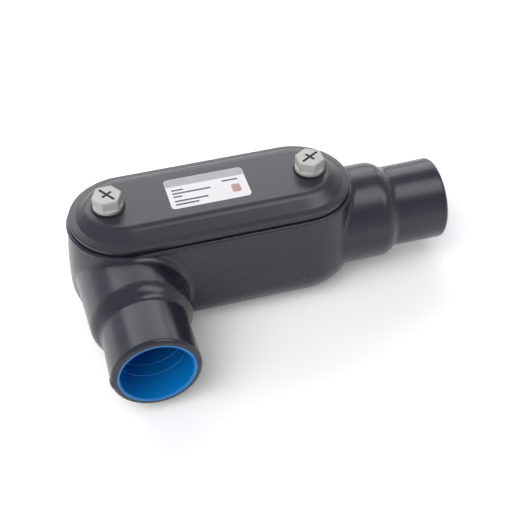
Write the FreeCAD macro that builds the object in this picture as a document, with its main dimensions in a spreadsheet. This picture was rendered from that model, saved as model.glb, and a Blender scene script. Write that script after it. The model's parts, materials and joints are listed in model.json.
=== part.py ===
import FreeCAD, Part
import Sketcher
import math
import os

from FreeCAD import Placement, Rotation, Vector

# A coated conduit body of the "L to the side" kind, for 1 inch rigid conduit.
# An iron casting with two threaded hubs is dipped in PVC, which also makes a sleeve
# over each conduit end.  A gasketed, domed cover is held by two encapsulated screws.
#
# Frame: millimetres, +Z up.  The origin lies on the flat back that the fitting rests on,
# below the middle of the cover opening.  +X points along the end hub, -Y along the side hub.

# Driving dimensions: alias, millimetres (or degrees), meaning.
DRIVING_SIZES = [
    ("end_centres", 82.6, "distance between the centres of the two rounded ends"),
    ("rim_height", 52.0, "height of the machined rim that the gasket lies on"),
    ("wall_radius", 30.3, "half width of the coated body at its widest"),
    ("barrel_radius", 216.0, "radius of the slight barrel of the walls, seen in section"),
    ("foot_round", 17.5, "radius between the walls and the back"),
    ("coat", 1.4, "thickness of the PVC coat"),
    ("iron_wall", 3.2, "thickness of the cast wall"),
    ("rim_radius", 28.7, "half width over the coat's bead at the rim"),
    ("bead_round", 1.3, "radius of that bead"),
    ("root_round", 4.0, "fillet of the coat where a hub leaves the body"),
    ("side_hub_offset", 44.6, "distance of the side hub's axis from the middle"),
    ("end_hub_face", 89.1, "distance of the end hub's face from the middle"),
    ("side_hub_face", 48.1, "distance of the side hub's face from the middle plane"),
    ("end_root_margin", 1.7, "distance from the end hub's root to the back and to the rim"),
    ("side_root_margin", 0.2, "distance from the side hub's root to the back and to the rim"),
    ("hub_margin", 1.8, "distance from both hubs' shoulders to the back and to the rim"),
    ("shoulder_round", 9.0, "convex radius of the coat over the hub's outer corner"),
    ("shoulder_length", 6.6, "run of that corner along the hub, up to the face"),
    ("neck_round", 4.0, "concave radius where the shoulder runs out into the sleeve"),
    ("sleeve_radius", 20.4, "outer radius of the sleeve at the neck"),
    ("sleeve_flare", 0.3, "how much wider the sleeve is at its mouth"),
    ("sleeve_length", 28.3, "length of the sleeve from the hub's face"),
    ("mouth_round", 2.0, "outer rounding of the sleeve's mouth"),
    ("liner_bore_radius", 16.7, "bore of the sleeve liner, the size of uncoated conduit"),
    ("liner_wall", 1.3, "wall of the sleeve liner"),
    ("thread_radius", 15.6, "pitch radius of the hub's pipe thread"),
    ("thread_length", 18.0, "depth of the thread from the hub's face"),
    ("bush_radius", 13.3, "radius of the smooth integral bushing behind the thread"),
    ("gasket_radius", 26.7, "half width over the gasket"),
    ("gasket_inner_radius", 23.3, "half width of the gasket's opening"),
    ("gasket_thickness", 1.4, "thickness of the gasket"),
    ("cover_radius", 27.3, "half width over the cover"),
    ("cover_edge_height", 1.9, "height of the cover's outer edge"),
    ("cover_edge_round", 0.9, "rounding of that edge"),
    ("lip_radius", 23.6, "half width at the inner line of the cover's lip"),
    ("plateau_radius", 15.6, "half width of the flat top, inside its rounding"),
    ("plateau_height", 7.1, "height of the flat top above the gasket"),
    ("plateau_round", 6.0, "rounding of the flat top's edge"),
    ("slope_angle", 38.0, "slope of the cover's flank, in degrees"),
    ("cover_wall", 2.4, "thickness of the cover's top"),
    ("hollow_radius", 21.6, "half width of the cover's hollow at the gasket"),
    ("post_radius", 6.5, "radius of the posts under the cover around the screws"),
    ("screw_spacing", 98.5, "distance between the two cover screws"),
    ("lug_radius", 6.5, "nose radius of the casting's screw lugs"),
    ("lug_depth", 9.0, "depth of the screw lugs"),
    ("shank_radius", 2.4, "radius of the screw's shank"),
    ("shank_length", 19.05, "length of the screw under its head"),
    ("tip_chamfer", 0.6, "chamfer of the screw's tip"),
    ("running_gap", 0.05, "clearance round the shank in the lug and in the washer"),
    ("cover_hole_gap", 0.4, "clearance round the shank in the cover"),
    ("head_flats", 7.94, "across the flats of the screw's own hexagon head"),
    ("head_height", 3.2, "height of that head"),
    ("cap_flats", 12.5, "across the flats of the moulded cap"),
    ("cap_height", 6.7, "height of the moulded cap"),
    ("cap_base_radius", 7.15, "radius of the cap's round base"),
    ("cap_base_height", 1.9, "height of that base"),
    ("cap_chamfer", 0.45, "chamfer of the cap's edges"),
    ("long_slot", 10.3, "length of the driver slot"),
    ("short_slot", 5.7, "length of the slot that crosses it"),
    ("slot_width", 1.0, "width of both slots"),
    ("slot_depth", 1.7, "depth of both slots"),
    ("left_turn", 124.0, "angle of the left screw's slot, in degrees from +X"),
    ("right_turn", 31.0, "angle of the right screw's slot, in degrees from +X"),
    ("washer_radius", 7.9, "outer radius of the sealing washer"),
    ("washer_thickness", 1.6, "thickness of the sealing washer"),
    ("washer_chamfer", 0.4, "chamfer of the sealing washer's upper edge"),
    ("recess_depth", 0.8, "depth of the recess that holds the washer"),
    ("recess_gap", 0.2, "clearance round the washer in its recess"),
    ("label_length", 38.6, "length of the label"),
    ("label_width", 21.4, "width of the label"),
    ("label_corner", 2.0, "corner radius of the label"),
    ("label_thickness", 0.15, "thickness of the label"),
    ("label_offset", 1.7, "distance of the label's centre from the middle"),
    ("spare", 8.0, "how far a blank runs past the face that trims it"),
]

SHEET = "Sizes"
CONVEX = 1
CONCAVE = -1


class Size:
    """A length known both as a number and as the expression that keeps it up to date."""

    def __init__(self, value, text):
        self.value = value
        self.text = text

    def combine(self, other, sign, value):
        return Size(value, f"({self.text} {sign} {as_size(other).text})")

    def __add__(self, other):
        return self.combine(other, "+", self.value + as_size(other).value)

    def __sub__(self, other):
        return self.combine(other, "-", self.value - as_size(other).value)

    def __mul__(self, other):
        return self.combine(other, "*", self.value * as_size(other).value)

    def __truediv__(self, other):
        return self.combine(other, "/", self.value / as_size(other).value)

    def __neg__(self):
        return Size(-self.value, f"(0 - {self.text})")


def as_size(item):
    return item if isinstance(item, Size) else Size(item, str(item))


def square(size):
    return size * size


def root(size):
    return Size(math.sqrt(size.value), f"sqrt({size.text})")


def sine(angle):
    return Size(math.sin(math.radians(angle.value)), f"sin({angle.text})")


def cosine(angle):
    return Size(math.cos(math.radians(angle.value)), f"cos({angle.text})")


class Sizes:
    """The spreadsheet of driving dimensions, read by alias."""

    def __init__(self, doc):
        self.sheet = doc.addObject("Spreadsheet::Sheet", SHEET)
        for row, (alias, value, meaning) in enumerate(DRIVING_SIZES, start=1):
            self.sheet.set(f"A{row}", meaning)
            self.sheet.set(f"B{row}", str(value))
            self.sheet.setAlias(f"B{row}", alias)
        doc.recompute()

    def __getattr__(self, alias):
        return Size(float(self.sheet.get(alias)), f"{SHEET}.{alias}")

    @property
    def axis_height(self):
        """Height of both hub axes above the back: halfway up to the rim."""
        return self.rim_height / 2

    @property
    def end_root_radius(self):
        return self.axis_height - self.end_root_margin

    @property
    def side_root_radius(self):
        return self.axis_height - self.side_root_margin

    @property
    def hub_radius(self):
        """Coated radius of both hubs at the shoulder."""
        return self.axis_height - self.hub_margin


# ---------------------------------------------------------------- sketching

def arc_between(start, end, radius, side):
    """The shorter arc from start to end; its centre lies left of the way (CONVEX) or right."""
    half = (end - start) * 0.5
    rise = math.sqrt(max(radius**2 - half.Length**2, 0.0))
    left = Vector(-half.y, half.x, 0).normalize()
    centre = start + half + left * (rise * side)
    first, last = (start, end) if side == CONVEX else (end, start)
    angles = [math.atan2(p.y - centre.y, p.x - centre.x) for p in (first, last)]
    if angles[1] < angles[0]:
        angles[1] += 2 * math.pi
    return Part.ArcOfCircle(Part.Circle(centre, Vector(0, 0, 1), radius), *angles)


def draw(sketch, corners):
    """Draws a closed outline through corners (x, y) or (x, y, radius, side).

    The optional radius and side belong to the arc that arrives at the corner.
    Every corner is pinned from the sketch's origin and every arc has its radius,
    and each of these constraints follows the spreadsheet.
    """
    base = sketch.GeometryCount
    points = [Vector(as_size(c[0]).value, as_size(c[1]).value, 0) for c in corners]
    starts = []
    ends = []
    for i, corner in enumerate(corners):
        before = points[i - 1]
        if len(corner) == 4:
            sketch.addGeometry(arc_between(before, points[i], corner[2].value, corner[3]), False)
            starts.append(1 if corner[3] == CONVEX else 2)
        else:
            sketch.addGeometry(Part.LineSegment(before, points[i]), False)
            starts.append(1)
        ends.append(3 - starts[-1])
    for i, corner in enumerate(corners):
        edge = base + i
        following = base + (i + 1) % len(corners)
        join = Sketcher.Constraint("Coincident", edge, ends[i], following, starts[(i + 1) % len(corners)])
        sketch.addConstraint(join)
        pin(sketch, "DistanceX", -2, edge, ends[i], corner[0])
        pin(sketch, "DistanceY", -1, edge, ends[i], corner[1])
        if len(corner) == 4:
            index = sketch.addConstraint(Sketcher.Constraint("Radius", edge, corner[2].value))
            sketch.setExpression(f"Constraints[{index}]", corner[2].text)


def pin(sketch, kind, axis, edge, point, distance):
    """Holds one coordinate of a point: on the axis if it is 0, else at its distance."""
    distance = as_size(distance)
    if distance.value == 0:
        sketch.addConstraint(Sketcher.Constraint("PointOnObject", edge, point, axis))
        return
    index = sketch.addConstraint(Sketcher.Constraint(kind, -1, 1, edge, point, distance.value))
    sketch.setExpression(f"Constraints[{index}]", distance.text)


def draw_circle(sketch, x, y, radius):
    edge = sketch.addGeometry(
        Part.Circle(Vector(as_size(x).value, as_size(y).value, 0), Vector(0, 0, 1), radius.value), False
    )
    pin(sketch, "DistanceX", -2, edge, 3, x)
    pin(sketch, "DistanceY", -1, edge, 3, y)
    index = sketch.addConstraint(Sketcher.Constraint("Radius", edge, radius.value))
    sketch.setExpression(f"Constraints[{index}]", radius.text)


def new_sketch(body, plane, name, along=None, height=None):
    """A sketch on one of the body's own origin planes, shifted in or off that plane."""
    sketch = body.newObject("Sketcher::SketchObject", name)
    support = [f for f in body.Origin.OriginFeatures if f.Role == plane][0]
    sketch.AttachmentSupport = [(support, "")]
    sketch.MapMode = "FlatFace"
    for axis, shift in (("x", along), ("z", height)):
        if shift is not None:
            sketch.setExpression(f".AttachmentOffset.Base.{axis}", as_size(shift).text)
    return sketch


def hexagon(flats):
    """Corners of a hexagon with two of them on the x axis."""
    half = flats / 2
    point = flats / math.sqrt(3)
    return [
        (point, 0),
        (point / 2, half),
        (-(point / 2), half),
        (-point, 0),
        (-(point / 2), -half),
        (point / 2, -half),
    ]


# ---------------------------------------------------------------- features

def pad(body, sketch, length, up=True):
    feature = body.newObject("PartDesign::Pad", "Pad")
    feature.Profile = sketch
    feature.setExpression("Length", length.text)
    feature.Reversed = not up
    body.Tip = feature
    return feature


def pocket(body, sketch, length, down=True):
    feature = body.newObject("PartDesign::Pocket", "Pocket")
    feature.Profile = sketch
    feature.setExpression("Length", length.text)
    feature.Reversed = not down
    body.Tip = feature
    return feature


def mirror(body, plane, feature):
    """Mirrors one feature; the copy reads the feature before it, so that is computed first."""
    body.Document.recompute()
    copy = body.newObject("PartDesign::Mirrored", "Mirrored")
    support = [f for f in body.Origin.OriginFeatures if f.Role == plane][0]
    copy.MirrorPlane = (support, [""])
    copy.Originals = [feature]
    body.Tip = copy
    return copy


def carry_round(size, body, name, corners, add=True):
    """Carries a half section (distance from the middle line, height) round the racetrack plan.

    The section is drawn out along the straight sides and turned round the two end centres.
    """
    side = new_sketch(body, "YZ_Plane", name + "_side")
    draw(side, corners)
    straight = body.newObject("PartDesign::Pad" if add else "PartDesign::Pocket", name + "_straight")
    straight.Profile = side
    straight.SideType = "Symmetric"
    straight.setExpression("Length", size.end_centres.text)
    end = new_sketch(body, "XZ_Plane", name + "_end", along=size.end_centres / 2)
    draw(end, corners)
    turn = body.newObject("PartDesign::Revolution" if add else "PartDesign::Groove", name + "_turn")
    turn.Profile = end
    turn.ReferenceAxis = (end, ["V_Axis"])
    turn.Angle = 180
    turn.Midplane = True
    mirror(body, "YZ_Plane", turn)
    mirror(body, "XZ_Plane", straight)


def turned(body, name, corners):
    """A solid of revolution about the body's own Z axis, from (radius, height) corners."""
    sketch = new_sketch(body, "XZ_Plane", name)
    draw(sketch, corners)
    feature = body.newObject("PartDesign::Revolution", "Revolution")
    feature.Profile = sketch
    feature.ReferenceAxis = (sketch, ["V_Axis"])
    feature.Angle = 360
    body.Tip = feature
    return feature


def new_body(doc, label):
    body = doc.addObject("PartDesign::Body", label)
    body.Label = label
    return body


def place(item, turn=Rotation(), x=0, y=0, z=0):
    """Turns and moves an item; the move follows the spreadsheet."""
    shift = [as_size(part) for part in (x, y, z)]
    item.Placement = Placement(Vector(*[part.value for part in shift]), turn)
    for axis, part in zip("xyz", shift):
        item.setExpression(f".Placement.Base.{axis}", part.text)


def fuse(doc, label, items):
    item = doc.addObject("Part::MultiFuse", label)
    item.Label = label
    item.Shapes = items
    item.Refine = True
    return item


def cut(doc, label, base, tool):
    item = doc.addObject("Part::Cut", label)
    item.Label = label
    item.Base = base
    item.Tool = tool
    item.Refine = True
    return item


# ---------------------------------------------------------------- body and hubs

def wall_section(size, inset, top):
    """Half section of the body, a constant distance inside the coat's surface."""
    inset = as_size(inset)
    flat = size.wall_radius - size.foot_round
    barrel = size.barrel_radius - inset
    reach = root(square(barrel) - square(top - size.foot_round))
    return [
        (0, 0 if inset.value == 0 else inset),
        (flat, 0 if inset.value == 0 else inset),
        (size.wall_radius - inset, size.foot_round, size.foot_round - inset, CONVEX),
        (size.wall_radius - size.barrel_radius + reach, top, barrel, CONVEX),
        (0, top),
    ]


def rim_reach(size, inset):
    """Distance of the wall from the middle line at the rim."""
    return wall_section(size, inset, size.rim_height)[3][0]


def wall_body(doc, size, label, inset, top):
    body = new_body(doc, label)
    carry_round(size, body, "wall", wall_section(size, inset, top))
    return body


class Hub:
    """One hub: its axis, the distance of its face and the coated radius at its root."""

    def __init__(self, size, name, face, root_radius, turn, shift):
        self.size = size
        self.name = name
        self.face = face
        self.root_radius = root_radius
        self.turn = turn
        self.shift = shift
        self.shoulder = face - size.shoulder_length

    def put(self, item):
        place(item, self.turn, x=self.shift, z=self.size.axis_height)
        return item

    def coat_section(self):
        """Hub, shoulder, neck and sleeve of the coat, as (radius, distance along the axis)."""
        size = self.size
        both = size.shoulder_round + size.neck_round
        drop = size.hub_radius - size.sleeve_radius
        run = root(both * drop * 2 - square(drop))
        share = size.shoulder_round / both
        crest = size.hub_radius - size.shoulder_round
        mouth = self.face + size.sleeve_length
        mouth_radius = size.sleeve_radius + size.sleeve_flare
        return [
            (0, 0),
            (self.root_radius, 0),
            (size.hub_radius, self.shoulder),
            (crest + (both - drop) * share, self.shoulder + run * share, size.shoulder_round, CONVEX),
            (size.sleeve_radius, self.shoulder + run, size.neck_round, CONCAVE),
            (mouth_radius, mouth - size.mouth_round),
            (mouth_radius - size.mouth_round, mouth, size.mouth_round, CONVEX),
            (0, mouth),
        ]

    def iron_section(self):
        """The casting's hub, one coat thickness inside the coat, up to its face."""
        size = self.size
        corner = size.shoulder_round - size.coat
        crest = size.hub_radius - size.shoulder_round
        face_radius = crest + root(square(corner) - square(size.shoulder_length))
        return [
            (0, 0),
            (self.root_radius - size.coat, 0),
            (size.hub_radius - size.coat, self.shoulder),
            (face_radius, self.face, corner, CONVEX),
            (0, self.face),
        ]

    def bore_section(self):
        """Thread bore from the face, then the narrower bushing through to the chamber."""
        size = self.size
        return [
            (0, 0),
            (size.bush_radius, 0),
            (size.bush_radius, self.face - size.thread_length),
            (size.thread_radius, self.face - size.thread_length),
            (size.thread_radius, self.face + size.spare),
            (0, self.face + size.spare),
        ]

    def sleeve_bore_section(self):
        size = self.size
        outer = size.liner_bore_radius + size.liner_wall
        mouth = self.face + size.sleeve_length + size.spare
        return [(0, self.face), (outer, self.face), (outer, mouth), (0, mouth)]

    def liner_section(self):
        size = self.size
        outer = size.liner_bore_radius + size.liner_wall
        mouth = self.face + size.sleeve_length
        lip = size.liner_wall / 3
        return [
            (size.liner_bore_radius, self.face),
            (outer, self.face),
            (outer, mouth),
            (size.liner_bore_radius + lip, mouth),
            (size.liner_bore_radius, mouth - lip),
        ]

    def solid(self, doc, label, corners):
        body = new_body(doc, label)
        turned(body, label + "_section", corners)
        return self.put(body)


def make_hubs(size):
    along_x = Rotation(Vector(0, 1, 0), 90)
    along_minus_y = Rotation(Vector(1, 0, 0), 90)
    return [
        Hub(size, "end", size.end_hub_face, size.end_root_radius, along_x, as_size(0)),
        Hub(size, "side", size.side_hub_face, size.side_root_radius, along_minus_y, -size.side_hub_offset),
    ]


def lug_outline(size, nose, reach):
    """Plan of a screw lug: a straight tongue from the end wall with a round nose."""
    centre = size.screw_spacing / 2
    return [
        (reach, -nose),
        (reach, nose),
        (centre, nose),
        (centre - nose, 0, nose, CONVEX),
        (centre, -nose, nose, CONVEX),
    ]


def lug_body(doc, size):
    body = new_body(doc, "screw_lugs")
    inner_wall = rim_reach(size, size.coat + size.iron_wall)
    reach = size.end_centres / 2 + inner_wall + size.iron_wall / 2
    sketch = new_sketch(body, "XY_Plane", "lug_plan", height=size.rim_height - size.lug_depth)
    draw(sketch, lug_outline(size, size.lug_radius, reach))
    mirror(body, "YZ_Plane", pad(body, sketch, size.lug_depth))
    return body


def screw_holes(doc, size, label, radius, bottom, length):
    """Two plain round holes on the screws' axes, as a tool to cut with."""
    body = new_body(doc, label)
    sketch = new_sketch(body, "XY_Plane", label + "_plan", height=bottom)
    draw_circle(sketch, size.screw_spacing / 2, 0, radius)
    mirror(body, "YZ_Plane", pad(body, sketch, length))
    return body


def make_casting(doc, size, hubs):
    """Returns the casting and the solid form that the coat fits round."""
    walls = wall_body(doc, size, "iron_walls", size.coat, size.rim_height)
    irons = [hub.solid(doc, f"{hub.name}_hub_iron", hub.iron_section()) for hub in hubs]
    form = fuse(doc, "iron_form", [walls] + irons)
    chamber_inset = size.coat + size.iron_wall
    chamber = wall_body(doc, size, "chamber_core", chamber_inset, size.rim_height + size.spare)
    bores = [hub.solid(doc, f"{hub.name}_hub_bore", hub.bore_section()) for hub in hubs]
    cores = fuse(doc, "cores", [chamber] + bores)
    hollow = cut(doc, "hollow_casting", form, cores)
    tapped = screw_holes(
        doc,
        size,
        "lug_holes",
        size.shank_radius + size.running_gap,
        size.rim_height - size.lug_depth - size.spare,
        size.lug_depth + size.spare * 2,
    )
    lugs = cut(doc, "drilled_lugs", lug_body(doc, size), tapped)
    return fuse(doc, "body_casting", [hollow, lugs]), form


# ---------------------------------------------------------------- coat

def root_edges(size, blank, hubs):
    """Numbers of the edges where a hub leaves the body: on the hub's cone and inside its face."""
    numbers = []
    for number, edge in enumerate(blank.Shape.Edges, start=1):
        points = edge.discretize(7)
        if any(lies_on_root(size, hub, points) for hub in hubs):
            numbers.append(number)
    return numbers


def lies_on_root(size, hub, points):
    """True if every point lies on the hub's conical flank, short of its shoulder."""
    tolerance = 0.01
    for point in points:
        local = hub.turn.inverted().multVec(
            point - Vector(hub.shift.value, 0, size.axis_height.value)
        )
        share = local.z / hub.shoulder.value
        if not tolerance < share < 1 - tolerance:
            return False
        radius = hub.root_radius.value + (size.hub_radius - hub.root_radius).value * share
        if abs(math.hypot(local.x, local.y) - radius) > tolerance:
            return False
    return True


def bead_body(doc, size):
    """The thicker, rounded edge of the coat at the rim."""
    body = new_body(doc, "rim_bead")
    bead = size.bead_round
    middle = size.rim_radius - bead
    inner = middle - bead - size.coat
    top = size.rim_height
    corners = [
        (inner, top - bead * 2),
        (middle, top - bead * 2),
        (size.rim_radius, top - bead, bead, CONVEX),
        (middle, top, bead, CONVEX),
        (inner, top),
    ]
    carry_round(size, body, "bead", corners)
    return body


def trim_box(doc, size):
    """Everything above the rim, over the whole length of the fitting."""
    box = doc.addObject("Part::Box", "above_rim")
    length = (size.end_hub_face + size.sleeve_length) * 2
    box.setExpression("Length", length.text)
    box.setExpression("Width", length.text)
    box.setExpression("Height", (size.spare * 2).text)
    place(box, x=-(length / 2), y=-(length / 2), z=size.rim_height)
    return box


def make_jacket(doc, size, hubs, iron_form):
    walls = wall_body(doc, size, "coat_walls", 0, size.rim_height + size.spare)
    sleeves = [hub.solid(doc, f"{hub.name}_hub_coat", hub.coat_section()) for hub in hubs]
    blank = fuse(doc, "coat_blank", [walls] + sleeves)
    doc.recompute()
    rounded = doc.addObject("Part::Fillet", "coat_rounded")
    rounded.Base = blank
    radius = size.root_round.value
    rounded.Edges = [(number, radius, radius) for number in root_edges(size, blank, hubs)]
    trimmed = cut(doc, "coat_trimmed", rounded, trim_box(doc, size))
    beaded = fuse(doc, "coat_beaded", [trimmed, bead_body(doc, size)])
    bores = [hub.solid(doc, f"{hub.name}_sleeve_bore", hub.sleeve_bore_section()) for hub in hubs]
    inside = fuse(doc, "coat_inside", [iron_form] + bores)
    return cut(doc, "pvc_jacket", beaded, inside)


def make_liners(doc, hubs):
    return [
        hub.solid(doc, f"{hub.name}_sleeve_liner", hub.liner_section()) for hub in hubs
    ]


# ---------------------------------------------------------------- gasket and cover

def make_gasket(doc, size):
    """A ring along the rim, with a drilled tab over each screw lug."""
    ring = new_body(doc, "gasket_ring")
    bottom = size.rim_height
    top = bottom + size.gasket_thickness
    corners = [
        (size.gasket_inner_radius, bottom),
        (size.gasket_radius, bottom),
        (size.gasket_radius, top),
        (size.gasket_inner_radius, top),
    ]
    carry_round(size, ring, "ring", corners)
    middle = size.end_centres / 2 + (size.gasket_radius + size.gasket_inner_radius) / 2
    tabs = new_sketch(ring, "XY_Plane", "tab_plan", height=bottom)
    draw(tabs, lug_outline(size, size.lug_radius, middle))
    mirror(ring, "YZ_Plane", pad(ring, tabs, size.gasket_thickness))
    hole = size.shank_radius + size.cover_hole_gap
    holes = screw_holes(doc, size, "gasket_holes", hole, bottom - size.spare, size.spare * 2)
    return cut(doc, "cover_gasket", ring, holes)


def cover_sections(size):
    """Half sections of the cover's outside and of its hollow."""
    bottom = size.rim_height + size.gasket_thickness
    top = bottom + size.plateau_height
    bend = size.plateau_radius + size.plateau_round * sine(size.slope_angle)
    bend_height = top - size.plateau_round * (as_size(1) - cosine(size.slope_angle))
    fall = (size.lip_radius - bend) * sine(size.slope_angle) / cosine(size.slope_angle)
    edge = size.cover_edge_round
    outside = [
        (0, bottom),
        (size.cover_radius, bottom),
        (size.cover_radius, bottom + size.cover_edge_height - edge),
        (size.cover_radius - edge, bottom + size.cover_edge_height, edge, CONVEX),
        (size.lip_radius, bend_height - fall),
        (bend, bend_height),
        (size.plateau_radius, top, size.plateau_round, CONVEX),
        (0, top),
    ]
    hollow = [
        (0, bottom),
        (size.hollow_radius, bottom),
        (size.plateau_radius, top - size.cover_wall),
        (0, top - size.cover_wall),
    ]
    return outside, hollow


def cover_top(size):
    return size.rim_height + size.gasket_thickness + size.plateau_height


def make_cover(doc, size):
    """A hollow dome with a post round each screw and a recess for each washer."""
    outside, hollow = cover_sections(size)
    bottom = size.rim_height + size.gasket_thickness
    dome = new_body(doc, "cover_dome")
    carry_round(size, dome, "dome", outside)
    carry_round(size, dome, "hollow", hollow, add=False)
    posts = new_sketch(dome, "XY_Plane", "post_plan", height=bottom)
    draw_circle(posts, size.screw_spacing / 2, 0, size.post_radius)
    mirror(dome, "YZ_Plane", pad(dome, posts, size.plateau_height - size.cover_wall / 2))
    recess = screw_holes(
        doc,
        size,
        "washer_recesses",
        size.washer_radius + size.recess_gap,
        cover_top(size) - size.recess_depth,
        size.recess_depth + size.spare,
    )
    hole = size.shank_radius + size.cover_hole_gap
    holes = screw_holes(doc, size, "cover_holes", hole, bottom - size.spare, size.spare * 3)
    return cut(doc, "cover_plate", dome, fuse(doc, "cover_cuts", [recess, holes]))


def make_label(doc, size):
    body = new_body(doc, "cover_label")
    long, wide, corner = size.label_length / 2, size.label_width / 2, size.label_corner
    sketch = new_sketch(body, "XY_Plane", "label_plan")
    draw(
        sketch,
        [
            (long - corner, -wide),
            (long, corner - wide, corner, CONVEX),
            (long, wide - corner),
            (long - corner, wide, corner, CONVEX),
            (corner - long, wide),
            (-long, wide - corner, corner, CONVEX),
            (-long, corner - wide),
            (corner - long, -wide, corner, CONVEX),
        ],
    )
    pad(body, sketch, size.label_thickness)
    place(body, x=-size.label_offset, z=cover_top(size))
    return body


# ---------------------------------------------------------------- screws

def seat_height(size):
    """Height of the washer's top, where the screw's head sits."""
    return cover_top(size) - size.recess_depth + size.washer_thickness


def stand_on_screw(size, item, side, height):
    """Places a turned piece on the left or right screw's axis, at its slot's angle."""
    angle = size.left_turn if side == "left" else size.right_turn
    across = size.screw_spacing / 2
    turn = Rotation(Vector(0, 0, 1), angle.value)
    place(item, turn, x=-across if side == "left" else across, z=height)
    item.setExpression(".Placement.Rotation.Angle", angle.text)
    return item


def make_screw(doc, size, side):
    """Shank and hexagon head; the shank's tip is at the body's own origin."""
    body = new_body(doc, f"{side}_screw")
    tip = size.tip_chamfer
    turned(
        body,
        "shank",
        [
            (0, 0),
            (size.shank_radius - tip, 0),
            (size.shank_radius, tip),
            (size.shank_radius, size.shank_length),
            (0, size.shank_length),
        ],
    )
    head = new_sketch(body, "XY_Plane", "head_plan", height=size.shank_length)
    draw(head, hexagon(size.head_flats))
    pad(body, head, size.head_height)
    return stand_on_screw(size, body, side, seat_height(size) - size.shank_length)


def slot_outline(size):
    """Plan of the recess: a long slot along x with a short one across it."""
    long, short, half = size.long_slot / 2, size.short_slot / 2, size.slot_width / 2
    return [
        (long, -half),
        (long, half),
        (half, half),
        (half, short),
        (-half, short),
        (-half, half),
        (-long, half),
        (-long, -half),
        (-half, -half),
        (-half, -short),
        (half, -short),
        (half, -half),
    ]


def make_cap(doc, size, side):
    """Plastic hexagon moulded round the screw's head, with a round base and a cross recess."""
    body = new_body(doc, f"{side}_screw_cap")
    edge = size.cap_chamfer
    turned(
        body,
        "base",
        [
            (0, 0),
            (size.cap_base_radius, 0),
            (size.cap_base_radius, size.cap_base_height - edge),
            (size.cap_base_radius - edge, size.cap_base_height),
            (0, size.cap_base_height),
        ],
    )
    outside = new_sketch(body, "XY_Plane", "cap_plan")
    draw(outside, hexagon(size.cap_flats))
    prism = pad(body, outside, size.cap_height)
    doc.recompute()
    chamfer_top(body, size, prism)
    slots = new_sketch(body, "XY_Plane", "slot_plan", height=size.cap_height)
    draw(slots, slot_outline(size))
    pocket(body, slots, size.slot_depth)
    socket = new_sketch(body, "XY_Plane", "socket_plan")
    draw(socket, hexagon(size.head_flats))
    pocket(body, socket, size.head_height, down=False)
    return stand_on_screw(size, body, side, seat_height(size))


def chamfer_top(body, size, prism):
    """Breaks the edges of the prism's top face."""
    top = size.cap_height.value
    names = [
        f"Face{number}"
        for number, face in enumerate(prism.Shape.Faces, start=1)
        if abs(face.CenterOfMass.z - top) < size.cap_chamfer.value / 10
    ]
    chamfer = body.newObject("PartDesign::Chamfer", "top_chamfer")
    chamfer.Base = (prism, names)
    chamfer.setExpression("Size", size.cap_chamfer.text)
    body.Tip = chamfer


def make_washer(doc, size, side):
    body = new_body(doc, f"{side}_screw_washer")
    edge = size.washer_chamfer
    hole = size.shank_radius + size.running_gap
    turned(
        body,
        "ring",
        [
            (hole, 0),
            (size.washer_radius, 0),
            (size.washer_radius, size.washer_thickness - edge),
            (size.washer_radius - edge, size.washer_thickness),
            (hole, size.washer_thickness),
        ],
    )
    return stand_on_screw(size, body, side, cover_top(size) - size.recess_depth)


# ---------------------------------------------------------------- document

def check(doc, parts):
    """Stops if any object failed to compute or any sub-part is not one valid solid."""
    for item in doc.Objects:
        if "Invalid" in item.State or "Error" in item.State:
            raise RuntimeError(f"{item.Label} failed: {item.State}")
    for part in parts:
        shape = part.Shape
        if shape.isNull() or not shape.isValid():
            raise RuntimeError(f"{part.Label} has no valid shape")
        if len(shape.Solids) != 1:
            raise RuntimeError(f"{part.Label} is {len(shape.Solids)} solids, not 1")


def main():
    doc = FreeCAD.newDocument("conduit_body")
    size = Sizes(doc)
    hubs = make_hubs(size)
    casting, iron_form = make_casting(doc, size, hubs)
    parts = [casting, make_jacket(doc, size, hubs, iron_form)]
    parts += make_liners(doc, hubs)
    parts += [make_gasket(doc, size), make_cover(doc, size), make_label(doc, size)]
    for side in ("left", "right"):
        parts += [make_screw(doc, size, side), make_cap(doc, size, side), make_washer(doc, size, side)]
    doc.recompute()
    check(doc, parts)
    os.makedirs("parts", exist_ok=True)
    for part in parts:
        part.Shape.exportStep(f"parts/{part.Label}.step")
        print(f"{part.Label}: {part.Shape.Volume:.0f} mm3")


main()
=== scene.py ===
# %% [markdown]
# # A coated conduit body, dressed for the studio
# The fitting joins two runs of steel conduit at a right angle. It is an iron casting, blue
# urethane inside and dipped in grey PVC outside, under a gasketed cover with two capped
# screws. The construction model already holds every solid at its real size, so this script
# adds what a modeller adds last: the finish of each surface, the threads, the print on the
# label, and the studio.

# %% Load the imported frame
import json
import math

import bpy
import numpy as np
from mathutils import Matrix, Vector


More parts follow.
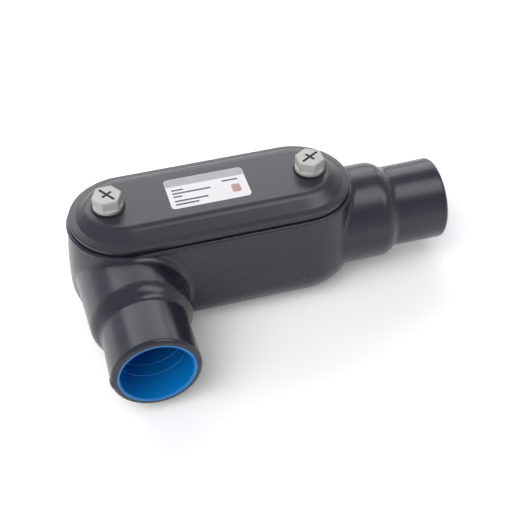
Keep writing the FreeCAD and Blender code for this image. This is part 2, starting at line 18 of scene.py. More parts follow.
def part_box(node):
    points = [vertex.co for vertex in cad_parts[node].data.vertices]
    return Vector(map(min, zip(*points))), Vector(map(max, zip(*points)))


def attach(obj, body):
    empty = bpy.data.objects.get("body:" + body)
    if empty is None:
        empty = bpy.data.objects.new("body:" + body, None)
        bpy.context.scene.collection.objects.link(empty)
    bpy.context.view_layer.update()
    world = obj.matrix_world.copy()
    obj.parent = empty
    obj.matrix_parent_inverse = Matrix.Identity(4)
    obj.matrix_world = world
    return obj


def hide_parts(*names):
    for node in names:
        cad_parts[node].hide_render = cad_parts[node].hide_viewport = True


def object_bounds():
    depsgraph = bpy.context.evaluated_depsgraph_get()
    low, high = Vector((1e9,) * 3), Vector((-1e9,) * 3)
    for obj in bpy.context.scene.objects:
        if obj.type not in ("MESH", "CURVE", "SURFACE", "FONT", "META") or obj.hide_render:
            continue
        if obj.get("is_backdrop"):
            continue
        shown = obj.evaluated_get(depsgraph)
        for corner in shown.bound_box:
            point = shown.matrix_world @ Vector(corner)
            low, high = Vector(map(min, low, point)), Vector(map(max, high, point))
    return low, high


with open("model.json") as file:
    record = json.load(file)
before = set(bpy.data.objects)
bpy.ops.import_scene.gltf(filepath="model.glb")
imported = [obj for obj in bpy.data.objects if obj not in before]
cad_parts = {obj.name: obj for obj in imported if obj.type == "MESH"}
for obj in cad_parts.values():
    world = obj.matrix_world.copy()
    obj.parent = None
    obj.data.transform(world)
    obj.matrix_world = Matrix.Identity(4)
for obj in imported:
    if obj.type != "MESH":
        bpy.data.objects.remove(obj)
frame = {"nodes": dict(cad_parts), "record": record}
cad_low, cad_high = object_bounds()
MM = 0.001
print("CAD box in mm:", [round(x / MM, 1) for x in (*cad_low, *cad_high)])


# %% [markdown]
# ## Where things are
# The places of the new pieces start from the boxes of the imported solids, and from the
# record's mounts, which give the axes, lengths and radii of the hubs and sleeves. So the
# dressing follows the construction model if it changes.

# %% Read the places from the frame
def corners(node):
    """Lowest and highest corner of one solid, in metres, as two arrays."""
    low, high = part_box(node)
    return np.array(low, float), np.array(high, float)


mounts = {mount["name"]: mount for mount in frame["record"]["mounts"]}
for name in ("end_hub_thread", "side_hub_thread"):
    print(name, "is at", mounts[name]["pos_m"], "and points along", mounts[name]["axis"])


# %% [markdown]
# ## Colour and nodes
# Paint charts and colour pickers give sRGB values, while the renderer adds light up in
# linear values. One function turns a hex colour into linear numbers, and one adds a node
# with its settings and links, so that each material reads as a short recipe.

# %% Linear colour and one node helper
def linear(hex_colour):
    """The linear RGBA of an sRGB hex colour: each channel through the standard curve."""
    channels = [int(hex_colour[i : i + 2], 16) / 255 for i in (1, 3, 5)]
    bent = [c / 12.92 if c <= 0.04045 else ((c + 0.055) / 1.055) ** 2.4 for c in channels]
    return (*bent, 1.0)


def add(tree, kind, settings=None, sockets=None):
    """Adds a node; a socket gets a value, or a link where another node's output is given."""
    made = tree.nodes.new(kind)
    for name, value in (settings or {}).items():
        setattr(made, name, value)
    for name, value in (sockets or {}).items():
        if isinstance(value, bpy.types.NodeSocket):
            tree.links.new(value, made.inputs[name])
        else:
            made.inputs[name].default_value = value
    return made


def start_material(name):
    """A new material and its node tree, which is still empty."""
    material = bpy.data.materials.new(name)
    material.use_nodes = True
    material.node_tree.nodes.clear()
    return material, material.node_tree


def per_metre(size_mm):
    """The scale that a texture node needs for features of this size: one over it in metres."""
    return 1.0 / (size_mm * MM)


print("middle grey #808080 is", round(linear("#808080")[0], 3), "in linear light")


# %% [markdown]
# ## Dipped PVC (plastisol)
# The casting is heated, dipped in liquid PVC and cured in an oven. The skin that forms is
# satin, with a long soft flow in its surface (features of 7 mm) and a fine orange peel
# (0.5 mm, drawn a little coarser than life so that it shows). PVC has an IOR of 1.53. The
# texture nodes read Object coordinates, which are metres on the fitting itself.

# %% Plastisol for the jacket and for the cover
def dipped_pvc(name, shade, pale, roughness):
    """A satin skin: slow noise shifts colour, gloss and height, and fine noise adds the peel."""
    material, tree = start_material(name)
    place = add(tree, "ShaderNodeTexCoord").outputs["Object"]
    flow = add(tree, "ShaderNodeTexNoise", None,
               {"Vector": place, "Scale": per_metre(7.0), "Detail": 2.0, "Roughness": 0.45})
    peel = add(tree, "ShaderNodeTexNoise", None,
               {"Vector": place, "Scale": per_metre(0.5), "Detail": 1.0})
    cloud = add(tree, "ShaderNodeMapRange", None,
                {"Value": flow.outputs["Fac"], "From Min": 0.3, "From Max": 0.7})
    colour = add(tree, "ShaderNodeMix", {"data_type": "RGBA"},
                 {0: cloud.outputs[0], 6: linear(shade), 7: linear(pale)})
    satin = add(tree, "ShaderNodeMapRange", None,
                {"Value": flow.outputs["Fac"],
                 "To Min": roughness - 0.03, "To Max": roughness + 0.03})
    soft = add(tree, "ShaderNodeBump", None,
               {"Height": flow.outputs["Fac"], "Strength": 0.5, "Distance": 0.09 * MM})
    skin = add(tree, "ShaderNodeBump", None,
               {"Height": peel.outputs["Fac"], "Strength": 0.2, "Distance": 0.008 * MM,
                "Normal": soft.outputs["Normal"]})
    shader = add(tree, "ShaderNodeBsdfPrincipled", None,
                 {"Base Color": colour.outputs[2], "Roughness": satin.outputs[0], "IOR": 1.53,
                  "Normal": skin.outputs["Normal"]})
    add(tree, "ShaderNodeOutputMaterial", None, {"Surface": shader.outputs[0]})
    return material


jacket_pvc = dipped_pvc("dipped_pvc_plastisol_jacket", "#212130", "#242434", 0.27)
cover_pvc = dipped_pvc("dipped_pvc_plastisol_cover", "#2a2a35", "#2d2d39", 0.30)
print("made", jacket_pvc.name, "and", cover_pvc.name)


# %% [markdown]
# ## Sprayed blue urethane
# The inside of the casting and of both sleeves is sprayed with a blue urethane, a thin even
# film with the fine peel of a spray gun and a clean, strong colour. The sleeves show it
# bright. Over the iron it is much deeper, and the sand of the mould shows through it as a
# coarser grain.

# %% Urethane for the casting and the sleeve linings
def sprayed_urethane(name, deep, bright, grain_mm, grain_depth_mm, roughness):
    """A glossy film: wide noise shifts the blue, and grain of the given size and depth lifts it."""
    material, tree = start_material(name)
    place = add(tree, "ShaderNodeTexCoord").outputs["Object"]
    mist = add(tree, "ShaderNodeTexNoise", None,
               {"Vector": place, "Scale": per_metre(9.0), "Detail": 3.0})
    grain = add(tree, "ShaderNodeTexNoise", None,
                {"Vector": place, "Scale": per_metre(grain_mm), "Detail": 2.0})
    spread = add(tree, "ShaderNodeMapRange", None,
                 {"Value": mist.outputs["Fac"], "From Min": 0.3, "From Max": 0.7})
    colour = add(tree, "ShaderNodeMix", {"data_type": "RGBA"},
                 {0: spread.outputs[0], 6: linear(deep), 7: linear(bright)})
    bump = add(tree, "ShaderNodeBump", None,
               {"Height": grain.outputs["Fac"], "Strength": 0.4,
                "Distance": grain_depth_mm * MM})
    shader = add(tree, "ShaderNodeBsdfPrincipled", None,
                 {"Base Color": colour.outputs[2], "Roughness": roughness, "IOR": 1.5,
                  "Normal": bump.outputs["Normal"]})
    add(tree, "ShaderNodeOutputMaterial", None, {"Surface": shader.outputs[0]})
    return material


liner_blue = sprayed_urethane(
    "sprayed_urethane_sleeve_lining", "#0a7ec8", "#1085d3",
    grain_mm=0.8, grain_depth_mm=0.02, roughness=0.28,
)
casting_blue = sprayed_urethane(
    "sprayed_urethane_on_cast_iron", "#04265f", "#062d6a",
    grain_mm=1.2, grain_depth_mm=0.12, roughness=0.34,
)
print("made", liner_blue.name, "and", casting_blue.name)


# %% [markdown]
# ## Rubber, label film, ink and steel
# The gasket is die-cut neoprene and the washers are moulded rubber: both are nearly black
# and dull. The label is a white polyester film, smooth and a little glossy, and its inks are
# screen printed, flat and more matt. The screws are cold-headed stainless steel, bright with
# a fine even grain, and the near-black in the driver slots is painted shade.

# %% One recipe for the plain finishes
def plain_finish(
    name, shade, pale, mottle_mm, grain_mm, grain_depth_mm, roughness, ior, metallic=0.0
):
    """A plain surface: wide noise mottles the colour, and fine noise shifts gloss and height."""
    material, tree = start_material(name)
    place = add(tree, "ShaderNodeTexCoord").outputs["Object"]
    mottle = add(tree, "ShaderNodeTexNoise", None,
                 {"Vector": place, "Scale": per_metre(mottle_mm), "Detail": 2.0})
    grain = add(tree, "ShaderNodeTexNoise", None,
                {"Vector": place, "Scale": per_metre(grain_mm), "Detail": 2.0})
    spread = add(tree, "ShaderNodeMapRange", None,
                 {"Value": mottle.outputs["Fac"], "From Min": 0.3, "From Max": 0.7})
    colour = add(tree, "ShaderNodeMix", {"data_type": "RGBA"},
                 {0: spread.outputs[0], 6: linear(shade), 7: linear(pale)})
    satin = add(tree, "ShaderNodeMapRange", None,
                {"Value": grain.outputs["Fac"],
                 "To Min": roughness - 0.04, "To Max": roughness + 0.04})
    bump = add(tree, "ShaderNodeBump", None,
               {"Height": grain.outputs["Fac"], "Strength": 0.4,
                "Distance": grain_depth_mm * MM})
    shader = add(tree, "ShaderNodeBsdfPrincipled", None,
                 {"Base Color": colour.outputs[2], "Roughness": satin.outputs[0], "IOR": ior,
                  "Metallic": metallic, "Normal": bump.outputs["Normal"]})
    add(tree, "ShaderNodeOutputMaterial", None, {"Surface": shader.outputs[0]})
    return material


# Name, darker and paler shade; mottle, grain and grain depth in mm; roughness; IOR; metallic.
neoprene = plain_finish(
    "die_cut_neoprene", "#0c0c0d", "#101011", 3.0, 0.3, 0.02, 0.62, 1.52
)
washer_rubber = plain_finish(
    "moulded_rubber_washer", "#121214", "#161618", 3.0, 0.3, 0.02, 0.5, 1.52
)
label_film = plain_finish(
    "white_polyester_film", "#e6e6e9", "#ebebee", 9.0, 0.6, 0.004, 0.3, 1.57
)
header_ink = plain_finish(
    "grey_screen_ink", "#a9a9b1", "#b2b2ba", 6.0, 0.4, 0.004, 0.35, 1.5
)
dark_ink = plain_finish(
    "dark_screen_ink", "#4a4a50", "#55555b", 6.0, 0.4, 0.004, 0.38, 1.5
)
# Painted shade: this near-black stands in for the shade inside the driver slots.
recess_shade = plain_finish(
    "painted_recess_shade", "#0c0c0d", "#121213", 1.5, 0.3, 0.02, 0.6, 1.4
)
red_ink = plain_finish(
    "muted_red_screen_ink", "#b98a8c", "#c09294", 6.0, 0.4, 0.004, 0.38, 1.5
)
screw_steel = plain_finish(
    "cold_headed_stainless_steel", "#b4b4b6", "#c2c2c4", 2.0, 0.25, 0.01, 0.28, 1.5, 1.0
)
print("made", len(bpy.data.materials), "materials")


# %% [markdown]
# ## The moulded caps
# The caps are light grey plastic moulded round the screws' heads, satin with a fine grain.
# Each has a driver recess of two crossed slots. A narrow band along their edges is painted
# shade, darkened to stand in for the shade at the edges of the recess, which is what makes the
# cross stand out from a step away. The painted shade is worked out from the distance to each
# slot's centre line, after a Mapping node has centred and turned the pattern on its cap.

# %% A cap of light grey plastic with painted shade along its recess
LONG_SLOT, SHORT_SLOT = 10.2 * MM, 5.6 * MM
# Half width and soft edge of the band of painted shade along each slot.
SLOT_SHADE_HALF = 0.68 * MM
SLOT_SHADE_SOFT = 0.1 * MM
CAP_TURNS = {"left": math.radians(124.0), "right": math.radians(31.0)}


def moulded_cap(hand):
    """Grey plastic, with painted shade where a point is within reach of either slot's centre line.
    """
    material = plain_finish(
        f"{hand}_moulded_light_grey_plastic", "#bfc1bd", "#c6c8c4", 4.0, 0.35, 0.01, 0.42, 1.49
    )
    tree = material.node_tree
    low, high = corners(f"{hand}_screw_cap")
    place = add(tree, "ShaderNodeTexCoord").outputs["Object"]
    local = add(tree, "ShaderNodeMapping", {"vector_type": "TEXTURE"},
                {"Vector": place, "Location": tuple((low + high) / 2),
                 "Rotation": (0.0, 0.0, CAP_TURNS[hand])})
    apart = add(tree, "ShaderNodeSeparateXYZ", None, {0: local.outputs[0]})
    along, across = (
        add(tree, "ShaderNodeMath", {"operation": "ABSOLUTE"}, {0: apart.outputs[axis]}).outputs[0]
        for axis in ("X", "Y")
    )

    def within(distance, reach):
        """1 inside the reach and 0 outside it, with a soft edge."""
        return add(tree, "ShaderNodeMapRange", {"interpolation_type": "SMOOTHSTEP"},
                   {"Value": distance,
                    "From Min": reach - SLOT_SHADE_SOFT, "From Max": reach + SLOT_SHADE_SOFT,
                    "To Min": 1.0, "To Max": 0.0}).outputs[0]

    arms = [
        add(tree, "ShaderNodeMath", {"operation": "MULTIPLY"},
            {0: within(first, reach / 2), 1: within(second, SLOT_SHADE_HALF)}).outputs[0]
        for first, second, reach in ((along, across, LONG_SLOT), (across, along, SHORT_SLOT))
    ]
    cross = add(tree, "ShaderNodeMath", {"operation": "MAXIMUM"}, {0: arms[0], 1: arms[1]})
    shader = next(node for node in tree.nodes if node.type == "BSDF_PRINCIPLED")
    plastic = shader.inputs["Base Color"].links[0].from_socket
    # Painted shade: near the slots the plastic is mixed towards #26261f, standing in for shade at
    # the recess edges.
    shaded_band = add(tree, "ShaderNodeMix", {"data_type": "RGBA"},
                  {0: cross.outputs[0], 6: plastic, 7: linear("#26261f")})
    tree.links.new(shaded_band.outputs[2], shader.inputs["Base Color"])
    return material


cap_plastic = {hand: moulded_cap(hand) for hand in CAP_TURNS}
print("made", [material.name for material in cap_plastic.values()])


# %% [markdown]
# ## Dress the solids
# The solids' shapes are right as they are, so here each one only gets its finish. Of the
# thirteen, only the two plain screws are replaced further on, by ones with their threads.

# %% Give every solid its finish
FINISHES = {
    "body_casting": casting_blue,
    "pvc_jacket": jacket_pvc,
    "end_sleeve_liner": liner_blue,
    "side_sleeve_liner": liner_blue,
    "cover_gasket": neoprene,
    "cover_plate": cover_pvc,
    "cover_label": label_film,
    "left_screw": screw_steel,
    "right_screw": screw_steel,
    "left_screw_cap": cap_plastic["left"],
    "right_screw_cap": cap_plastic["right"],
    "left_screw_washer": washer_rubber,
    "right_screw_washer": washer_rubber,
}


def finish(piece, material):
    """Puts one material in every slot of a piece, or adds the slot."""
    for slot in piece.material_slots:
        slot.material = material
    if not piece.material_slots:
        piece.data.materials.append(material)


for node, material in FINISHES.items():
    finish(frame["nodes"][node], material)
print("dressed", len(FINISHES), "solids")


# %% [markdown]
# ## A profile carried along a path
# Threads, rings, the drip, screws and print are all one idea: a grid of points, one row after
# another, whose neighbours are joined by four-sided faces. The grid is worked out as whole
# arrays, and each row is a closed ring. A second helper turns what is known along and around
# an axis into points in space.

# %% Make a mesh from a grid of points
def grid_piece(name, points, material, body, wrap=False, smooth=True):
    """A mesh from points[row, column, xyz], whose first and last rows are joined or capped."""
    rows, columns = points.shape[:2]
    index = np.arange(rows * columns).reshape(rows, columns)
    if wrap:
        index = np.concatenate([index, index[:1]])
    beside = np.roll(index, -1, axis=1)
    quads = np.stack([index[:-1], beside[:-1], beside[1:], index[1:]], axis=-1).reshape(-1, 4)
    faces = quads.tolist()
    if not wrap:
        faces += [index[0, ::-1].tolist(), index[-1].tolist()]
    mesh = bpy.data.meshes.new(name)
    mesh.from_pydata(points.reshape(-1, 3).tolist(), [], faces)
    mesh.validate()
    if smooth:
        mesh.shade_smooth()
    mesh.update()
    piece = bpy.data.objects.new(name, mesh)
    bpy.context.scene.collection.objects.link(piece)
    finish(piece, material)
    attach(piece, body)
    print(name, "has", len(mesh.polygons), "faces")
    return piece


# %% Turn places around an axis into points
def around_axis(centre, axis, along, distance, angle):
    """The centre, plus along x axis, plus distance x (cos angle x side + sin angle x other)."""
    axis = Vector(axis).normalized()
    side = axis.orthogonal().normalized()
    other = axis.cross(side)
    return (
        np.array(centre)
        + along[..., None] * np.array(axis)
        + (distance * np.cos(angle))[..., None] * np.array(side)
        + (distance * np.sin(angle))[..., None] * np.array(other)
    )


quarter = around_axis((0, 0, 0), (0, 0, 1), np.zeros(1), np.ones(1), np.array([math.pi / 2]))
print("a quarter turn around the vertical axis reaches", quarter.round(3).tolist())


# %% [markdown]
# ## Pipe thread in the hubs
# Each hub is tapped for 1 inch rigid conduit: 11.5 threads to the inch. The bore of the
# solid is plain, so a ridge is wound into it: a rounded triangle carried along a helix,
# fading out at both ends. The blue urethane softens its crest. The ridge's foot and its flat
# back lie a little way inside the iron, so that no gap shows along it.

# %% Wind the ridges into both hubs
PIPE_PITCH = 25.4 / 11.5 * MM
RIDGE_HEIGHT = 0.95 * MM
RIDGE_HALF_WIDTH = 0.47 * PIPE_PITCH
RIDGE_SHARPNESS = 1.3  # power of the cosine: the higher, the sharper the crest
FOOT_SUNK, BACK_SUNK = 0.03 * MM, 0.25 * MM
RUN_OUT = 2.5  # the ridge is at full height after 1 / 2.5 of a turn
THINNEST = 0.02  # share of the height that is left at the very ends
STEPS_A_TURN = 72


def wound_ridge(centre, axis, length, radius):
    """Radius minus height x cosine bump across the ridge, along a helix, fading at both ends."""
    turns = length / PIPE_PITCH - 1.0
    way = np.linspace(0.0, 1.0, int(turns * STEPS_A_TURN) + 1)[:, None]
    across = np.linspace(-1.0, 1.0, 7)[None, :]
    fade = np.clip(np.minimum(way, 1 - way) * turns * RUN_OUT, THINNEST, 1.0)
    rise = RIDGE_HEIGHT * fade * np.cos(across * math.pi / 2) ** RIDGE_SHARPNESS
    distance = radius + FOOT_SUNK - rise
    along = (way - 0.5) * turns * PIPE_PITCH + across * RIDGE_HALF_WIDTH
    back = np.full((len(way), 1), radius + BACK_SUNK)
    distance = np.concatenate([distance, back, back], axis=1)
    along = np.concatenate([along, along[:, -1:], along[:, :1]], axis=1)
    return around_axis(centre, axis, along, distance, way * turns * 2 * math.pi)


for hub in ("end", "side"):
    mount = mounts[f"{hub}_hub_thread"]
    length, radius = (mount["dims"][size] * MM for size in ("length_mm", "r_mm"))
    ridge = wound_ridge(mount["pos_m"], mount["axis"], length, radius)
    grid_piece(f"{hub}_hub_thread_ridge", ridge, casting_blue, "fitting")


# %% [markdown]
# ## Rings in the sleeve linings
# The lining of each sleeve carries two fine raised rings, which grip the conduit and keep
# water out. Each is a small cosine bump, turned round the axis of the sleeve.

# %% Turn the rings into both sleeves
RING_DEPTHS = (14.0 * MM, 20.5 * MM)
RING_RISE = 0.3 * MM
RING_WIDTH = 0.8 * MM
RING_SUNK = 0.02 * MM


def lining_ring(centre, axis, radius):
    """Radius minus rise x cosine bump across the width, turned round the axis."""
    angle = np.linspace(0, 2 * math.pi, 96, endpoint=False)[:, None]
    across = np.linspace(-1, 1, 9)[None, :]
    distance = radius + RING_SUNK - RING_RISE * np.cos(across * math.pi / 2)
    return around_axis(centre, axis, across * RING_WIDTH / 2, distance, angle)


for hub in ("end", "side"):
    mount = mounts[f"{hub}_sleeve_bore"]
    out = np.array(mount["axis"], float)
    mouth = np.array(mount["pos_m"]) + out * mount["dims"]["length_mm"] * MM / 2
    for number, depth in enumerate(RING_DEPTHS, 1):
        name = f"{hub}_lining_ring_{number}"
        ring = lining_ring(mouth - out * depth, mount["axis"], mount["dims"]["r_mm"] * MM)
        grid_piece(name, ring, liner_blue, "fitting", wrap=True)


# %% [markdown]
# ## The drip at the mouth
# After the dip the coat runs down, and a last drop sets on the side sleeve, at its mouth. It
# is a small flattened ellipsoid that lies mostly inside the coat, so that only a low swelling
# shows. The rings stop just short of its two poles, where flat caps close it.

# %% Set the drop on the side sleeve
DROP_BELOW = math.radians(6.0)  # how far round the sleeve it has run, from level
DROP_FROM_MOUTH = 2.5 * MM
DROP_FROM_AXIS = 19.9 * MM
DROP_AROUND, DROP_ALONG, DROP_OUT = 3.8 * MM, 2.45 * MM, 1.3 * MM
POLE_GAP = 0.02


def drop_rings(middle, reach):
    """The middle plus the three reaches x sin a cos b, sin a sin b and cos a: an ellipsoid."""
    a = np.linspace(POLE_GAP, math.pi - POLE_GAP, 15)[:, None, None]
    b = np.linspace(0, 2 * math.pi, 24, endpoint=False)[None, :, None]
    return (
        np.array(middle)
        + np.sin(a) * np.cos(b) * np.array(reach[0])
        + np.sin(a) * np.sin(b) * np.array(reach[1])
        + np.cos(a) * np.array(reach[2])
    )


outward = Vector((-math.cos(DROP_BELOW), 0.0, -math.sin(DROP_BELOW)))
around = Vector((math.sin(DROP_BELOW), 0.0, -math.cos(DROP_BELOW)))
along = Vector((0.0, 1.0, 0.0))
middle = Vector(mounts["side_sleeve_bore"]["pos_m"])
middle.y = corners("pvc_jacket")[0][1] + DROP_FROM_MOUTH
middle += outward * DROP_FROM_AXIS
reach = (around * DROP_AROUND, along * DROP_ALONG, outward * DROP_OUT)
grid_piece("mouth_drip", drop_rings(middle, reach), jacket_pvc, "fitting")


# %% [markdown]
# ## The screws
# A number 10 screw with 24 threads to the inch. On the real screw the thread is rolled, so
# its crests are blunt. The whole screw is one grid: going from the tip along the axis, each
# row is a ring, whose radius follows the thread on the shank and a hexagon on the head.

# %% Turn both screws with their rolled threads
SCREW_PITCH = 25.4 / 24 * MM
CREST_RADIUS = 2.4 * MM
THREAD_DEPTH = 0.55 * MM
FLANK_SLOPE, CREST_FLAT = 1.25, 0.12  # the wave is steepened, then its crest is cut off
TIP_LENGTH, TIP_SHARE = 0.6 * MM, 0.6
HEAD_FLATS, HEAD_HEIGHT = 7.94 * MM, 3.2 * MM
HEAD_BEVEL, HEAD_TOP_SHARE = 0.4 * MM, 0.9
ROWS_A_PITCH = 8


def screw_rings(low, high, centre):
    """Crest minus depth x triangle wave of height and angle on the shank, a hexagon above."""
    under_head = high[2] - HEAD_HEIGHT
    angle = np.linspace(0, 2 * math.pi, 48, endpoint=False)[None, :]
    shank = np.arange(low[2] + TIP_LENGTH, under_head, SCREW_PITCH / ROWS_A_PITCH)[:, None]
    phase = (shank / SCREW_PITCH - angle / (2 * math.pi)) % 1.0
    wave = np.clip(np.abs(phase * 2 - 1) * FLANK_SLOPE - CREST_FLAT, 0, 1)
    thread = CREST_RADIUS - THREAD_DEPTH * wave
    hexagon = HEAD_FLATS / 2 / np.cos((angle + math.pi / 6) % (math.pi / 3) - math.pi / 6)
    rows = [
        (TIP_SHARE * thread[:1], [low[2]]),
        (thread, shank[:, 0]),
        (thread[-1:], [under_head]),
        (hexagon, [under_head]),
        (hexagon, [high[2] - HEAD_BEVEL]),
        (hexagon * HEAD_TOP_SHARE, [high[2]]),
    ]
    radius = np.concatenate([rings for rings, heights in rows])
    height = np.concatenate([heights for rings, heights in rows])[:, None] * np.ones_like(angle)
    x = centre[0] + radius * np.cos(angle)
    y = centre[1] + radius * np.sin(angle)
    return np.stack([x, y, height], axis=-1)


for hand in ("left", "right"):
    name = f"{hand}_rolled_screw"
    low, high = corners(f"{hand}_screw")
    rings = screw_rings(low, high, (low + high) / 2)
    screw = grid_piece(name, rings, screw_steel, f"{hand}_screw")
    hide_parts(f"{hand}_screw")


# %% [markdown]
# ## The driver recess in the caps
# The moulded cap leaves the driver slots of the steel head open. A near-black cross of painted
# shade lies in each recess, up to a little below the face of the cap, where the slots are in shade.

# %% Lay a dark cross in each recess
SLOT_WIDTH = 0.98 * MM
SLOT_DEPTH = 1.7 * MM
SLOT_SHADOW = 0.08 * MM


def cross_rings(centre, top, turn):
    """A cross outline of two arms, at the floor of the slots and just under the cap's face."""
    a, b, w = LONG_SLOT / 2, SHORT_SLOT / 2, SLOT_WIDTH / 2
    half = [(a, -w), (a, w), (w, w), (w, b), (-w, b), (-w, w)]
    flat = np.array(half + [(-x, -y) for x, y in half])
    x = centre[0] + flat[:, 0] * math.cos(turn) - flat[:, 1] * math.sin(turn)
    y = centre[1] + flat[:, 0] * math.sin(turn) + flat[:, 1] * math.cos(turn)
    heights = (top - SLOT_DEPTH, top - SLOT_SHADOW)
    return np.stack([np.stack([x, y, np.full_like(x, z)], axis=-1) for z in heights])


# Each cross is painted shade: a near-black sheet that fills the slot to just under the cap's face.
for hand, turn in CAP_TURNS.items():
    name = f"{hand}_driver_recess"
    low, high = corners(f"{hand}_screw_cap")
    cross = cross_rings((low + high) / 2, high[2], turn)
    grid_piece(name, cross, recess_shade, f"{hand}_screw", smooth=False)


# %% [markdown]
# ## Print on the label
# The film carries a grey header band, a few plain bars and a small field of muted red. They
# are slips of ink, each a rounded rectangle that rises a few hundredths of a millimetre above
# the film. Their places are shares of the label's box, from its lower left corner.

# %% Lay the fields of ink on the film
INK = 0.03 * MM
RING_POINTS = 32  # half a step off the axes, so that each point belongs to one corner


def ink_slab(low, high, top_radius, foot_radius, height):
    """Rings on a rounded rectangle: inner corner plus radius x (cos, sin), below and above."""
    turn = np.linspace(0, 2 * math.pi, RING_POINTS, endpoint=False) + math.pi / RING_POINTS
    radius = np.where(np.sin(turn) > 0, top_radius, foot_radius)
    middle = (low + high) / 2
    reach = (high - low) / 2
    x = middle[0] + np.sign(np.cos(turn)) * (reach[0] - radius) + radius * np.cos(turn)
    y = middle[1] + np.sign(np.sin(turn)) * (reach[1] - radius) + radius * np.sin(turn)
    rows = [np.stack([x, y, np.full_like(x, z)], axis=-1) for z in (height - INK, height + INK)]
    return np.stack(rows)


film_low, film_high = corners("cover_label")
film_size = film_high[:2] - film_low[:2]
# Name, ink, lower left and upper right corner; radius of the upper and lower corners in mm.
FIELDS = [
    ("label_header", header_ink, (0.006, 0.745), (0.994, 0.989), 1.8, 0.1),
    ("label_bar_1", dark_ink, (0.06, 0.585), (0.21, 0.635), 0.3, 0.3),
    ("label_bar_2", dark_ink, (0.06, 0.475), (0.54, 0.525), 0.3, 0.3),
    ("label_bar_3", dark_ink, (0.06, 0.365), (0.17, 0.415), 0.3, 0.3),
    ("label_bar_4", dark_ink, (0.06, 0.215), (0.48, 0.265), 0.3, 0.3),
    ("label_bar_5", dark_ink, (0.06, 0.105), (0.35, 0.155), 0.3, 0.3),
    ("label_bar_6", dark_ink, (0.70, 0.605), (0.90, 0.655), 0.3, 0.3),
    ("label_field", red_ink, (0.79, 0.20), (0.90, 0.46), 0.9, 0.9),
]
for name, ink, start, stop, top, foot in FIELDS:
    low = film_low[:2] + film_size * start
    high = film_low[:2] + film_size * stop
    slip = ink_slab(low, high, top * MM, foot * MM, film_high[2])
    grid_piece(name, slip, ink, "cover", smooth=False)


# %% [markdown]
# ## The white sweep
# The fitting lies on a sweep of white paper. Rays from the camera, from reflections and
# through glass see the paper white. The diffuse rays that carry its light back to the object
# see it at a plain level, so that it doesn't wash the colours out. The floor keeps the
# shadow, and a faint glow of its own keeps that shadow open, as a lit sweep does.

# %% Floor
PAPER = 0.9
PAPER_SEEN = 1.2
FLOOR_GLOW = 0.14
FLOOR_HALF = 1.0
FLOOR_GAP = 0.1 * MM


def seen_rays(tree):
    """1 for camera, glossy and transmission rays, and 0 for the diffuse rays that carry light."""
    path = add(tree, "ShaderNodeLightPath")
    glossy = add(tree, "ShaderNodeMath", {"operation": "MAXIMUM"},
                 {0: path.outputs["Is Camera Ray"], 1: path.outputs["Is Glossy Ray"]})
    seen = add(tree, "ShaderNodeMath", {"operation": "MAXIMUM"},
               {0: glossy.outputs[0], 1: path.outputs["Is Transmission Ray"]})
    return seen.outputs[0]


def white_floor():
    """White paper: diffuse, a little brighter where it is seen, plus the glow where it is seen."""
    material, tree = start_material("white_paper_sweep")
    seen = seen_rays(tree)
    white = add(tree, "ShaderNodeMapRange", None,
                {"Value": seen, "To Min": PAPER, "To Max": PAPER_SEEN})
    paper = add(tree, "ShaderNodeBsdfDiffuse", None, {"Color": white.outputs[0]})
    level = add(tree, "ShaderNodeMath", {"operation": "MULTIPLY"}, {0: seen, 1: FLOOR_GLOW})
    glow = add(tree, "ShaderNodeEmission", None, {"Strength": level.outputs[0]})
    both = add(tree, "ShaderNodeAddShader", None, {0: paper.outputs[0], 1: glow.outputs[0]})
    add(tree, "ShaderNodeOutputMaterial", None, {"Surface": both.outputs[0]})
    return material


drop = cad_low.z - FLOOR_GAP
signs = ((-1, -1), (1, -1), (1, 1), (-1, 1))
square = [(x * FLOOR_HALF, y * FLOOR_HALF, drop) for x, y in signs]
mesh = bpy.data.meshes.new("floor")
mesh.from_pydata(square, [], [(0, 1, 2, 3)])
floor = bpy.data.objects.new("floor", mesh)
bpy.context.scene.collection.objects.link(floor)
finish(floor, white_floor())
floor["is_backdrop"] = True
print("floor at", round(drop / MM, 2), "mm")


# %% [markdown]
# ## The surround
# Behind the sweep the room is white at the horizon, and dimmer overhead, which gives the
# glossy coat its slow change from light to dark. It lights the object at one even level.

# %% World
SURROUND = 0.36
HORIZON_LEVEL, OVERHEAD_LEVEL = 1.0, 0.6
HORIZON_TOP, OVERHEAD_START = 0.12, 0.62  # sines of the elevations between which it dims


def surround():
    """White at the horizon and dim overhead to the rays that see it, and even to the others."""
    world = bpy.data.worlds.new("surround")
    world.use_nodes = True
    tree = world.node_tree
    tree.nodes.clear()
    direction = add(tree, "ShaderNodeTexCoord").outputs["Generated"]
    height = add(tree, "ShaderNodeSeparateXYZ", None, {0: direction}).outputs["Z"]
    wall = add(tree, "ShaderNodeMapRange", {"interpolation_type": "SMOOTHSTEP"},
               {"Value": height, "From Min": HORIZON_TOP, "From Max": OVERHEAD_START,
                "To Min": HORIZON_LEVEL, "To Max": OVERHEAD_LEVEL})
    level = add(tree, "ShaderNodeMix", None,
                {0: seen_rays(tree), 2: SURROUND, 3: wall.outputs[0]})
    glow = add(tree, "ShaderNodeBackground", None, {"Strength": level.outputs[0]})
    add(tree, "ShaderNodeOutputWorld", None, {"Surface": glow.outputs[0]})
    return world


bpy.context.scene.world = surround()
print("world:", bpy.context.scene.world.name)


# %% [markdown]
# ## The lamps
# A wide softbox stands behind the fitting and draws the long highlights along the coat, and a
# narrow window at the back right adds a short one. A card at the right is seen only in
# reflections, and a fill at the front left lights the near side and leaves no reflection. A
# lamp's radiance is a quarter of its watts for each square metre.

# %% Softboxes
LAMP_DISTANCE = 1.7
WATTS_FOR_RADIANCE = 4.0  # for each square metre of lamp


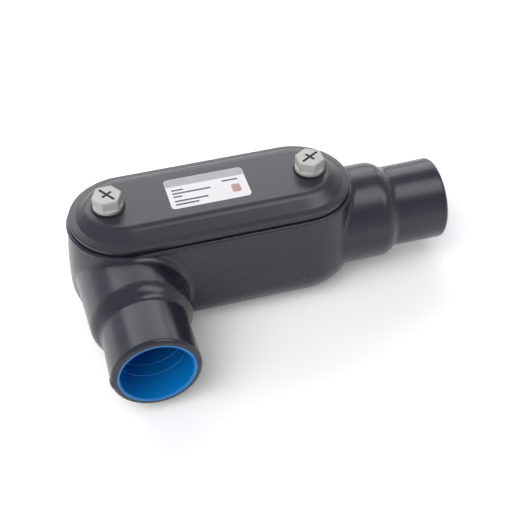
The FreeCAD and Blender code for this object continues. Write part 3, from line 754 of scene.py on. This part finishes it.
def softbox(name, azimuth, elevation, width, height, radiance):
    """A lamp that faces the fitting from an azimuth (from +Y towards +X) and an elevation."""
    azimuth, elevation = math.radians(azimuth), math.radians(elevation)
    data = bpy.data.lights.new(name, "AREA")
    data.shape = "RECTANGLE"
    data.size, data.size_y = width, height
    data.energy = radiance * width * height * WATTS_FOR_RADIANCE
    lamp = bpy.data.objects.new(name, data)
    bpy.context.scene.collection.objects.link(lamp)
    way = Vector((
        math.sin(azimuth) * math.cos(elevation),
        math.cos(azimuth) * math.cos(elevation),
        math.sin(elevation),
    ))
    lamp.location = way * LAMP_DISTANCE
    lamp.rotation_euler = (-way).to_track_quat("-Z", "Y").to_euler()
    return lamp


softbox("back_softbox", -2.5, 34.0, width=2.3, height=1.05, radiance=1.75)
softbox("back_right_window", 46.0, 19.0, width=0.3, height=0.65, radiance=1.5)
card = softbox("right_card", 118.0, 60.0, width=0.85, height=1.3, radiance=2.1)
card.visible_diffuse = False
fill = softbox("front_left_fill", 232.0, 50.0, width=1.5, height=1.5, radiance=2.1)
fill.visible_glossy = False


# %% [markdown]
# ## The camera
# A long lens looks down at the fitting from the front left. Its place is given by two
# angles and a distance around a point above the frame's origin, at the height of the hubs'
# axes. Then it slides a little across and down its own view, as on a studio stand.

# %% Set up the camera
AZIMUTH, ELEVATION, ROLL = (math.radians(a) for a in (-15.51, 43.94, -0.628))
DISTANCE = 524.25 * MM
SLIDE_RIGHT, SLIDE_UP = 21.23 * MM, -7.72 * MM
FOCAL_LENGTH, SENSOR_WIDTH = 74.08, 36.0
NEAREST_SEEN = 10.0 * MM

back = Vector((
    math.sin(AZIMUTH) * math.cos(ELEVATION),
    -math.cos(AZIMUTH) * math.cos(ELEVATION),
    math.sin(ELEVATION),
))
level_right = Vector((math.cos(AZIMUTH), math.sin(AZIMUTH), 0.0))
level_up = back.cross(level_right)
right = level_right * math.cos(ROLL) + level_up * math.sin(ROLL)
up = level_up * math.cos(ROLL) - level_right * math.sin(ROLL)
middle = Vector((0.0, 0.0, mounts["end_hub_thread"]["pos_m"][2]))

lens = bpy.data.cameras.new("camera")
lens.lens = FOCAL_LENGTH
lens.sensor_width = SENSOR_WIDTH
lens.clip_start = NEAREST_SEEN
camera = bpy.data.objects.new("camera", lens)
bpy.context.scene.collection.objects.link(camera)
spot = middle + back * DISTANCE + right * SLIDE_RIGHT + up * SLIDE_UP
turn = Matrix((right, up, back)).transposed().to_4x4()
camera.matrix_world = Matrix.Translation(spot) @ turn
bpy.context.scene.camera = camera
bpy.context.scene.view_settings.view_transform = "Standard"
print("camera at", [round(x, 3) for x in spot])


# %% [markdown]
# ## The size at the end
# The dressed fitting must stay inside the solids' box, so both boxes are written down.

# %% Write the dressed box
low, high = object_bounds()
print("dressed box in mm:", [round(x / MM, 1) for x in (*low, *high)])
